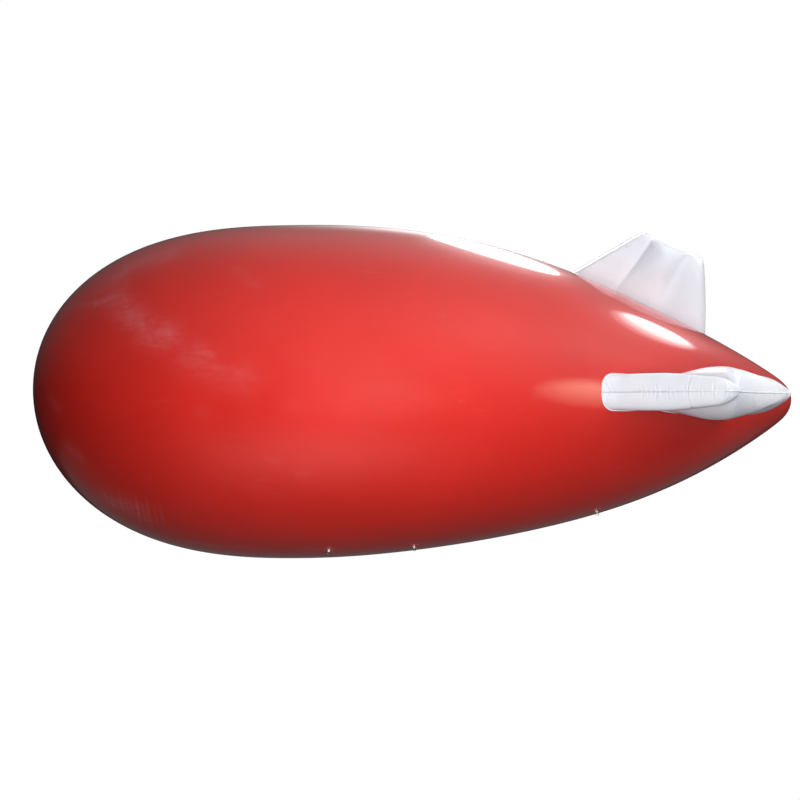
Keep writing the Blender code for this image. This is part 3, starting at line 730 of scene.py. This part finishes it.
def fin_plan(u, v):
    """Places (x, span) in a fin's own plane, and its whole span there."""
    root, bow, tip = linear_knots(FIN_ROOT, u), linear_knots(FIN_BOW, u), through(FIN_TIP, u)
    along = v[:, None]
    plan = root * (1 - along) + tip * along + bow * 4.0 * along * (1 - along)
    return plan, np.linalg.norm(tip - root, axis=1)


def fin_point(u, v):
    """Places (x, height, span) on a fin's side, for grids of u across the chord and v along the span."""
    flat_u, flat_v = u.ravel(), v.ravel()
    plan, span = fin_plan(flat_u, flat_v)
    lines = [fin_plan(np.full_like(flat_u, k), flat_v)[0] for k in range(4)]
    widths = [np.linalg.norm(high - low, axis=1) for low, high in zip(lines, lines[1:])]
    off_hull = plan[:, 1] - hull_radius(plan[:, 0])
    foot = smooth(FOOT_HEIGHT, 0.0, off_hull)
    plan[:, 0] -= FOOT_SPREAD * foot ** 2 * smooth(FOOT_SPREAD_END, 0.0, flat_u)
    height = fin_half_height(flat_u, flat_v, widths, span, foot)
    return np.stack([plan[:, 0], height, plan[:, 1]], -1).reshape(*u.shape, 3)


def above_hull(places):
    """Height of places in the row frame above the hull's skin."""
    x = places[..., 0]
    return np.hypot(places[..., 1], places[..., 2] - axis_height(x)) - hull_radius(x)


def hull_normal(places):
    x = places[..., 0]
    angle = np.arctan2(places[..., 2] - axis_height(x), places[..., 1])
    return hull_place(x, angle)[1]


def turned(points, side, matrix):
    """Fin points (x, height, span) of one side, in the row frame."""
    return (points * (1.0, side, 1.0)) @ matrix.T


def root_share(columns, side, matrix):
    """The share of the span at which each column leaves the hull."""
    low, high = np.zeros_like(columns), np.full_like(columns, 0.8)
    for _ in range(40):
        middle = (low + high) / 2.0
        outside = above_hull(turned(fin_point(columns, middle), side, matrix)) > 0.0
        high, low = np.where(outside, middle, high), np.where(outside, low, middle)
    return high


def normals_of(grid):
    """Unit normals of a grid of points, facing the side that its height is on."""
    normal = np.cross(np.gradient(grid, axis=0), np.gradient(grid, axis=1))
    return unit(normal * np.sign(normal[..., 1:2] + 1e-12))


def softened(height, columns):
    """Rounds the crease over the rear web, and a little that over the front one."""
    wide = sum(strength * bell((columns - web) / width) for web, width, strength in WEB_SOFTENING)
    wide = np.clip(wide, 0.0, 1.0)[None, 1:-1] * 0.5
    for _ in range(SOFTENING_PASSES):
        height[:, 1:-1] += wide * ((height[:, :-2] + height[:, 2:]) / 2.0 - height[:, 1:-1])
    return height


def dents(along, away, puckers, width):
    """Narrow dents across a seam, each between two low ridges."""
    relief = np.zeros(along.shape)
    for place, reach, depth, lean in puckers:
        offset = (along - place - lean * away) / width
        ridges = PUCKER_RIDGE * (bell(offset - 2.0) + bell(offset + 2.0))
        relief += depth * bell(away / reach) * (ridges - PUCKER_DEPTH * bell(offset))
    return relief


def random_puckers(rng, length):
    """Puckers along a seam, as in LEAD_PUCKERS."""
    places = np.cumsum(rng.uniform(0.022, 0.075, 60))
    return [
        (p, rng.uniform(0.018, 0.06), rng.uniform(0.3, 1.2), rng.uniform(-0.4, 0.4))
        for p in places if p < length - 0.02
    ]


def leading_relief(along, away, height):
    """Height of the puckers, welded line and pinches of the leading face."""
    relief = dents(along, away, LEAD_PUCKERS, PUCKER_WIDTH)
    weld = CROSS_WELD - CROSS_WELD_BOW * (1.0 - (height / 0.1) ** 2)
    line = (along - weld) / CROSS_WELD_WIDTH
    welded = CROSS_WELD_RIDGE * bell(line - 1.6) - CROSS_WELD_GROOVE * bell(line)
    relief += smooth(*CROSS_WELD_END, away) * welded
    past, out, radius, depth = CORNER_DENT
    relief -= depth * bell(np.hypot(along - CROSS_WELD - past, away - out) / radius)
    pinched = smooth(*PINCH_END, away)
    for place, slant, strength in PINCHES:
        line = (along - place + height / slant) / PINCH_WIDTH
        relief += strength * pinched * (PINCH_RIDGE * bell(line - 1.8) - PINCH_DEPTH * bell(line))
    return relief


def fin_relief(grid, columns, v, seed):
    """Height of a fin's puckers, folds and slow waves."""
    rng = np.random.default_rng(seed)
    x, height, span = grid[..., 0], np.abs(grid[..., 1]), grid[..., 2]
    start, end = grid[0, 0, [0, 2]], grid[-1, 0, [0, 2]]
    run = (end - start) / np.linalg.norm(end - start)
    along = (x - start[0]) * run[0] + (span - start[1]) * run[1] - FOOT_SPREAD
    inward = (x - start[0]) * run[1] - (span - start[1]) * run[0]
    away = np.hypot(np.maximum(inward, 0.0), height)
    relief = leading_relief(along, away, height)
    tip_run = run_along(grid[-1][:, [0, 2]])
    tip_away = np.hypot((1.0 - v) * fin_plan(columns, np.ones_like(columns))[1], height)
    tip_along = np.broadcast_to(tip_run, x.shape)
    relief += dents(tip_along, tip_away, random_puckers(rng, tip_run[-1]), EDGE_PUCKER_WIDTH)
    back_away = np.hypot(grid[0, -1, 0] - x, height)
    relief += dents(span - grid[0, -1, 2], back_away, random_puckers(rng, 0.7), EDGE_PUCKER_WIDTH)
    corner_x, corner_span = grid[-1, np.argmin(np.abs(columns - TENSION_CORNER))][[0, 2]]
    below, behind = corner_span - span, x - corner_x
    bearing, far = np.arctan2(below, behind), np.hypot(below, behind)
    near = smooth(*TENSION_START, far) * smooth(*TENSION_END, far)
    for turn, strength in TENSION_FOLDS:
        relief += strength * TENSION_HEIGHT * near * bell((bearing - turn) / TENSION_WIDTH)
    for _ in range(7):
        wave = rng.uniform(3.0, 9.0, 2)
        phase = rng.uniform(0.0, math.tau, 2)
        relief += FIN_WAVE * np.sin(wave[0] * 2.0 * x + phase[0]) * np.sin(wave[1] * 2.0 * span + phase[1])
    edge = np.minimum(np.minimum(away, tip_away), back_away)
    return relief * smooth(0.0, 0.01, edge)


def root_skirt(root):
    """Rows of points for the flange welded flat on the hull round a fin's root."""
    out = hull_normal(root)
    away = unit(np.cross(np.gradient(root, axis=0), out))
    away *= np.sign(((root - root.mean(0)) * away).sum(1).mean())
    return [root + away * reach + out * rise for reach, rise in ROOT_FLANGE]


def seam_edges(line, seed):
    """Both outer edges of the welded seam, from its line in the fin's own plane."""
    run = unit(np.gradient(line, axis=0))
    outward = np.stack([-run[:, 1], run[:, 0]], -1)
    length = run_along(line)
    rng = np.random.default_rng(seed)
    sway = np.zeros_like(length)
    for _ in range(9):
        reach, pace, phase = rng.uniform(0.0001, 0.0005), rng.uniform(25.0, 190.0), rng.uniform(0.0, 6.3)
        sway += reach * np.sin(pace * length + phase)
    tip = line + outward * SEAM_FLANGE
    return {side: np.stack([tip[:, 0], sway + SEAM_HALF * side, tip[:, 1]], -1) for side in (1.0, -1.0)}


def make_fin(name, turn, replaced, seed):
    columns = fin_columns()
    matrix = np.array(Matrix.Rotation(turn, 3, "X"))
    share = 1.0 - (1.0 - np.linspace(0.0, 1.0, FIN_ROWS + 1)) ** ROW_CROWDING
    points, faces, index, base = [], [], {}, {}
    rows, wide = len(share), len(columns)

    def numbered(places):
        """Adds points and gives their numbers."""
        first = sum(len(p) for p in points)
        points.append(places)
        return first + np.arange(len(places))

    def grid_faces(numbers):
        for low, high in zip(numbers, numbers[1:]):
            faces.extend(zip(low[:-1], low[1:], high[1:], high[:-1]))

    for side in (1.0, -1.0):
        start = root_share(columns, side, matrix)
        v = start + (1.0 - start) * share[:, None]
        grid = fin_point(np.broadcast_to(columns, v.shape), v)
        grid[..., 1] = softened(grid[..., 1], columns)
        relief = fin_relief(grid, columns, v, seed + (side > 0.0))
        relief *= smooth(0.0, 0.02, share)[:, None]
        grid += normals_of(grid) * relief[..., None]
        grid[..., 1] = np.maximum(grid[..., 1], SEAM_HALF)
        base[side] = grid
        places = turned(grid, side, matrix)
        index[side] = numbered(places.reshape(-1, 3)).reshape(rows, wide)
        grid_faces(index[side])
        skirt = [numbered(row) for row in root_skirt(places[0])]
        grid_faces([index[side][0], *skirt])
    # The welded seam flange round the edge of both skins
    rim = [(i, 0) for i in range(rows)] + [(rows - 1, j) for j in range(1, wide)]
    rim += [(i, wide - 1) for i in range(rows - 2, -1, -1)]
    line = np.array([base[1.0][i, j][[0, 2]] for i, j in rim])
    edge = {side: numbered(local @ matrix.T) for side, local in seam_edges(line, seed).items()}
    for k in range(len(rim) - 1):
        for side in (1.0, -1.0):
            faces.append((index[side][rim[k]], index[side][rim[k + 1]], edge[side][k + 1], edge[side][k]))
        faces.append((edge[1.0][k], edge[1.0][k + 1], edge[-1.0][k + 1], edge[-1.0][k]))
    faces = [tuple(map(int, face)) for face in faces]
    new_mesh(name, np.concatenate(points), faces, "fin_film", replaced)


def frame_at(place, normal, ahead=(1.0, 0.0, 0.0)):
    """A frame with Z along the normal and X as near to ahead as can be."""
    z_axis = Vector(normal).normalized()
    x_axis = (Vector(ahead) - z_axis * z_axis.dot(ahead)).normalized()
    turn = Matrix((x_axis, z_axis.cross(x_axis), z_axis)).transposed().to_4x4()
    return Matrix.Translation(Vector(place)) @ turn


def hull_frame(x, angle):
    return frame_at(*hull_place(x, angle))


def lathe(name, profile, matrix, replaced, slot="valve_plastic", steps=96, ribs=None):
    """A profile of (distance from the axis, height) turned round. Ribs are (count, depth, low, high)."""
    points, faces = [], ring_faces(len(profile), steps)
    for away, height in profile:
        for k in range(steps):
            turn = math.tau * k / steps
            reach = away
            if ribs and ribs[2] < height < ribs[3]:
                reach -= ribs[1] * max(0.0, math.cos(ribs[0] * turn)) ** 0.5
            points.append((reach * math.cos(turn), reach * math.sin(turn), height))
    for row in (0, len(profile) - 1):
        if profile[row][0] > 0.0:
            faces.append(tuple(range(row * steps, (row + 1) * steps)))
    item = new_mesh(name, [matrix @ Vector(p) for p in points], faces, slot, replaced)
    item.data.set_sharp_from_angle(angle=math.radians(38.0))


def rounded(corners, radius, steps=4):
    """A profile through corners (distance, height), each turned on a small radius."""
    line = [corners[0]]
    for before, at, after in zip(corners, corners[1:], corners[2:]):
        before, at, after = Vector(before), Vector(at), Vector(after)
        reach = min(radius, (before - at).length * 0.45, (after - at).length * 0.45)
        start, end = at + (before - at).normalized() * reach, at + (after - at).normalized() * reach
        for k in range(steps + 1):
            share = k / steps
            bend = start * (1 - share) ** 2 + at * 2 * share * (1 - share) + end * share ** 2
            line.append(tuple(bend))
    return line + [corners[-1]]


def sweep(name, path, section, matrix, slot, replaced, body, closed):
    """A cross-section (out, side) drawn along a path in the plane of X and Z."""
    path = np.array(path)
    run = np.roll(path, -1, 0) - np.roll(path, 1, 0) if closed else np.gradient(path, axis=0)
    out = unit(np.stack([run[:, 1], -run[:, 0]], -1))
    points, size = [], len(section)
    faces = ring_faces(len(path), size, closed)
    for at, way in zip(path, out):
        points += [(at[0] + way[0] * a, b, at[1] + way[1] * a) for a, b in section]
    if not closed:
        faces += [tuple(range(size)), tuple(range(len(points) - size, len(points)))]
    item = new_mesh(name, [matrix @ Vector(p) for p in points], faces, slot, replaced, body)
    item.data.set_sharp_from_angle(angle=math.radians(50.0))


def make_patch(label, x, angle):
    """A round patch of hull film, welded on and bent to the hull."""
    points, steps, rows = [], PATCH_STEPS, len(PATCH_PROFILE)
    girth = hull_radius(x)
    turn = np.arange(steps) * math.tau / steps
    for reach, rise in PATCH_PROFILE:
        at_x = x + PATCH_RADIUS * reach * np.cos(turn)
        at_angle = angle + PATCH_RADIUS * reach * np.sin(turn) / girth
        points += list(hull_place(at_x, at_angle, hull_relief(at_x, at_angle)[0] + PATCH_RISE * rise)[0])
    points.append(hull_place(x, angle, hull_relief(x, angle)[0] + PATCH_RISE)[0])
    faces = ring_faces(rows, steps) + [(k, (k + 1) % steps, rows * steps) for k in range(steps)]
    patch = new_mesh(f"patch_{label}", points, faces, "hull_film", [f"tether_patch_{label}"])
    for title, value in (("weld", 1.0), ("cap", 1.0), ("scuff_and_sheen", 0.35)):
        point_values(patch, title, np.full(len(points), value))


def arc(centre, radius, start, end, steps):
    turns = np.radians(np.linspace(start, end, steps + 1))
    return [(centre[0] + radius * math.cos(t), centre[1] + radius * math.sin(t)) for t in turns]


def make_loop(label, seat):
    """A loop of webbing sewn to the patch, its path in the seat's Y and Z."""
    across = Matrix(((0, 1, 0, 0), (1, 0, 0, 0), (0, 0, 1, 0), (0, 0, 0, 1)))
    ply, foot, half = TAB_PLY / 2.0, TAB_FOOT / 2.0, TAB_LENGTH / 2.0
    rise = [(-foot, ply), (-foot * 0.7, ply), (-TAB_BEND_AT, ply)]
    rise += arc((-TAB_BEND_AT, ply + TAB_BEND), TAB_BEND, -90.0, -20.0, 5)[1:]
    rise += [(-ply - inset, height) for inset, height in TAB_WAIST]
    path = rise + arc((0.0, EYE_HEIGHT), WIRE_RADIUS + EYE_PLAY + ply, 225.0, -45.0, 18)
    path += [(-px, py) for px, py in reversed(rise)]
    section = [(-ply, -half), (-ply, half), (ply, half), (ply, -half)]
    place = seat @ Matrix.Translation((0.0, 0.0, PATCH_RISE)) @ across
    sweep(f"loop_{label}", path, section, place, "webbing", [f"tether_tab_{label}"], "envelope", False)


def make_ring(label, seat):
    """The D-ring, its bar in the loop's eye, hanging straight down."""
    eye = seat @ Vector((0.0, 0.0, PATCH_RISE + GAP + EYE_HEIGHT))
    ahead = seat.to_3x3().col[0]
    up = Vector((0.0, 0.0, 1.0))
    hang = frame_at(eye, up - ahead * up.dot(ahead), ahead)
    wide, corner, drop = RING_HALF_WIDTH, RING_CORNER, RING_SIDE
    path = [(px, 0.0) for px in np.linspace(-wide + corner, wide - corner, 9)]
    path += arc((wide - corner, -corner), corner, 90.0, 0.0, 7)[1:]
    path += arc((0.0, -drop), wide, 0.0, -180.0, 44)
    path += arc((-wide + corner, -corner), corner, 180.0, 90.0, 7)[:-1]
    wire = arc((0.0, 0.0), WIRE_RADIUS, 0.0, 337.5, 15)
    replaced = [f"tether_ring_{label}"]
    sweep(f"d_ring_{label}", path, wire, hang, "ring_steel", replaced, f"ring_{label}", True)


def make_tether(label, x, angle):
    """A patch, its loop of webbing, and the ring that hangs in the loop."""
    make_patch(label, x, angle)
    seat = hull_frame(x, angle)
    make_loop(label, seat)
    make_ring(label, seat)


def make_helium_valve():
    seat = hull_frame(VALVE_X, VALVE_ANGLE)
    flange, neck, bore = VALVE_RADII
    rise, groove = VALVE_FLANGE_RISE, VALVE_FLANGE_RISE - 0.0006
    line = [(neck + GAP, VALVE_SINK), (neck + GAP, rise)]
    for reach in VALVE_GROOVES:
        line += [(reach, rise), (reach + 0.0006, groove), (reach + 0.0018, groove), (reach + 0.0024, rise)]
    line = rounded(line + [(flange, rise), (flange, VALVE_SINK)], 0.0006, 3)
    lathe("valve_flange", line, seat, ["helium_valve_flange"])
    top, root = VALVE_NECK_HEIGHT, neck - VALVE_THREAD_DEPTH
    line = [(bore, VALVE_SINK), (bore, top), (root, top), (root, top - 0.0015)]
    for k in range(3):
        low = top - (k + 1) * VALVE_THREAD_PITCH
        line += [(neck, low), (neck, low - 0.0008), (root, low - 0.0016)]
    line = rounded(line + [(neck, 0.0035), (neck, VALVE_SINK)], 0.0004, 2)
    lathe("valve_neck", line, seat, ["helium_valve_neck"])
    low, cap = top + GAP, VALVE_CAP_RADIUS
    high = low + VALVE_CAP_HEIGHT
    dish = high - VALVE_CAP_DISH
    line = [(0.0, low), (cap, low), (cap, high)]
    line += [(cap - VALVE_CAP_RIM[0], high), (cap - VALVE_CAP_RIM[1], dish), (0.0, dish)]
    ribs = (*VALVE_CAP_RIBS, low + 0.0012, high - 0.0012)
    line = rounded(line, 0.0016, 5)
    lathe("valve_cap", line, seat, ["helium_valve_cap"], "valve_cap_plastic", 288, ribs)


def make_fin_valve(fin, turn, side):
    matrix = np.array(Matrix.Rotation(turn, 3, "X"))
    u, v = (np.array([[value - 0.01, value, value + 0.01]]) for value in FIN_VALVE_AT)
    patch = fin_point(np.repeat(u, 3, 0), np.repeat(v.T, 3, 1))
    normal = normals_of(patch)[1, 1]
    seat = frame_at(turned(patch[1, 1], side, matrix), turned(normal, side, matrix))
    line = rounded(FIN_VALVE_PROFILE, 0.001, 4)
    lathe(f"{fin}_filler", line, seat, [f"{fin}_valve"])


def area_light(name, place, target, power, wide, deep=0.0, colour=WHITE, spin=0.0, glossy=True, diffuse=True):
    """A round lamp facing its target, or an oval one if it has a depth. The camera doesn't see it."""
    data = bpy.data.lights.new(name, "AREA")
    data.shape = "ELLIPSE" if deep else "DISK"
    data.size = wide
    data.size_y = deep or wide
    data.energy = power
    data.color = colour
    item = placed(name, data)
    item.location = place
    aim = (Vector(target) - Vector(place)).to_track_quat("-Z", "Y").to_matrix()
    item.rotation_euler = (aim @ Matrix.Rotation(spin, 3, "Z")).to_euler()
    item.visible_camera = False
    item.visible_glossy = glossy
    item.visible_diffuse = diffuse


def make_lamps():
    for name, place, target, power in FRONT_LAMPS:
        area_light(name, place, target, power, FRONT_LAMP_SIZE, glossy=False)
    for name, place, power, wide, deep, spin, lit in SKYLIGHTS:
        below = (place[0], place[1], 0.0)
        area_light(name, place, below, power, wide, deep, spin=math.radians(spin), diffuse=lit)
    for layer in range(WINDOW_LAYERS):
        wide, deep, height = (blend(ends, layer / (WINDOW_LAYERS - 1)) for ends in WINDOW_SIZES)
        power = WINDOW_LEVEL / WINDOW_LAYERS * (math.pi / 2.0) ** 2 * wide * deep
        place = (*WINDOW_PLACE, height)
        area_light(f"window_{layer}", place, WINDOW_TARGET, power, wide, deep, WINDOW_COLOUR, diffuse=False)


def make_world():
    """Soft surroundings: brightest in front, on the right and above, dark beyond the nose and below."""
    made = Nodes("studio", "worlds", "Generated")
    bpy.context.scene.world = made.owner
    _, away, up = made.add("ShaderNodeSeparateXYZ", [made.place]).outputs
    ramp = made.add("ShaderNodeValToRGB", [made.scaled(up, 0.5, 0.5)])
    stops = ramp.color_ramp.elements
    stops.remove(stops[1])
    for position, level in BEHIND_LEVELS:
        stop = stops.new(position) if position else stops[0]
        stop.color = (level, level, level, 1.0)
    behind = made.math("MAXIMUM", away, 0.0)
    level = made.times(ramp.outputs[0], made.math("POWER", behind, 0.5))
    for direction, tightness, brightness in GLOWS:
        aims = made.place, Vector(direction).normalized()
        aim = made.add("ShaderNodeVectorMath", aims, operation="DOT_PRODUCT").outputs["Value"]
        glow = made.math("POWER", made.math("MAXIMUM", aim, 0.0), tightness)
        level = made.scaled(glow, brightness, level)
    made.put(made.tree.nodes["Background"].inputs["Color"], level)


def make_stage():
    """A pale floor and a white dome that only the camera sees, not the gloss."""
    floor, dome = bmesh.new(), bmesh.new()
    bmesh.ops.create_circle(floor, cap_ends=True, segments=64, radius=FLOOR_RADIUS)
    bmesh.ops.create_uvsphere(dome, u_segments=48, v_segments=24, radius=DOME_RADIUS)
    bmesh.ops.reverse_faces(dome, faces=dome.faces)
    for name, builder, height in (("floor", floor, FLOOR_HEIGHT), ("backdrop", dome, 0.0)):
        glow = {"Specular IOR Level": 0.0, "Emission Color": WHITE, "Emission Strength": 1.0}
        mesh = bpy.data.meshes.new(name)
        builder.to_mesh(mesh)
        builder.free()
        mesh.materials.append(Nodes(name).surface(BLACK, 1.0, others=glow))
        item = placed(name, mesh)
        item.location = (0.0, 0.0, height)
        for seen_by in ("glossy", "diffuse", "transmission", "shadow"):
            setattr(item, f"visible_{seen_by}", False)


def make_camera():
    data = bpy.data.cameras.new("camera")
    data.lens = SENSOR_WIDTH * PHOTO_FOCAL / PHOTO_WIDTH
    data.sensor_width = SENSOR_WIDTH
    data.clip_start = 0.05
    data.clip_end = 200.0
    camera = placed("camera", data)
    turn = Matrix.Rotation(QUARTER + CAMERA_PITCH, 4, "X") @ Matrix.Rotation(CAMERA_ROLL, 4, "Z")
    camera.matrix_world = Matrix.Translation(CAMERA_PLACE) @ turn
    bpy.context.scene.camera = camera


make_hull()
for fin, turn, skins, valve_side, seed in FINS:
    make_fin(f"{fin}_cover", turn, [f"{fin}_skin_{skin}" for skin in skins], seed)
    make_fin_valve(fin, turn, valve_side)
for number, (tether_x, below) in enumerate(TETHERS, 1):
    make_tether(f"port_{number}", tether_x, math.pi + math.radians(below))
    make_tether(f"starboard_{number}", tether_x, -math.radians(below))
make_helium_valve()

bpy.context.scene.view_settings.view_transform = "Standard"
make_world()
make_stage()
make_camera()
make_lamps()
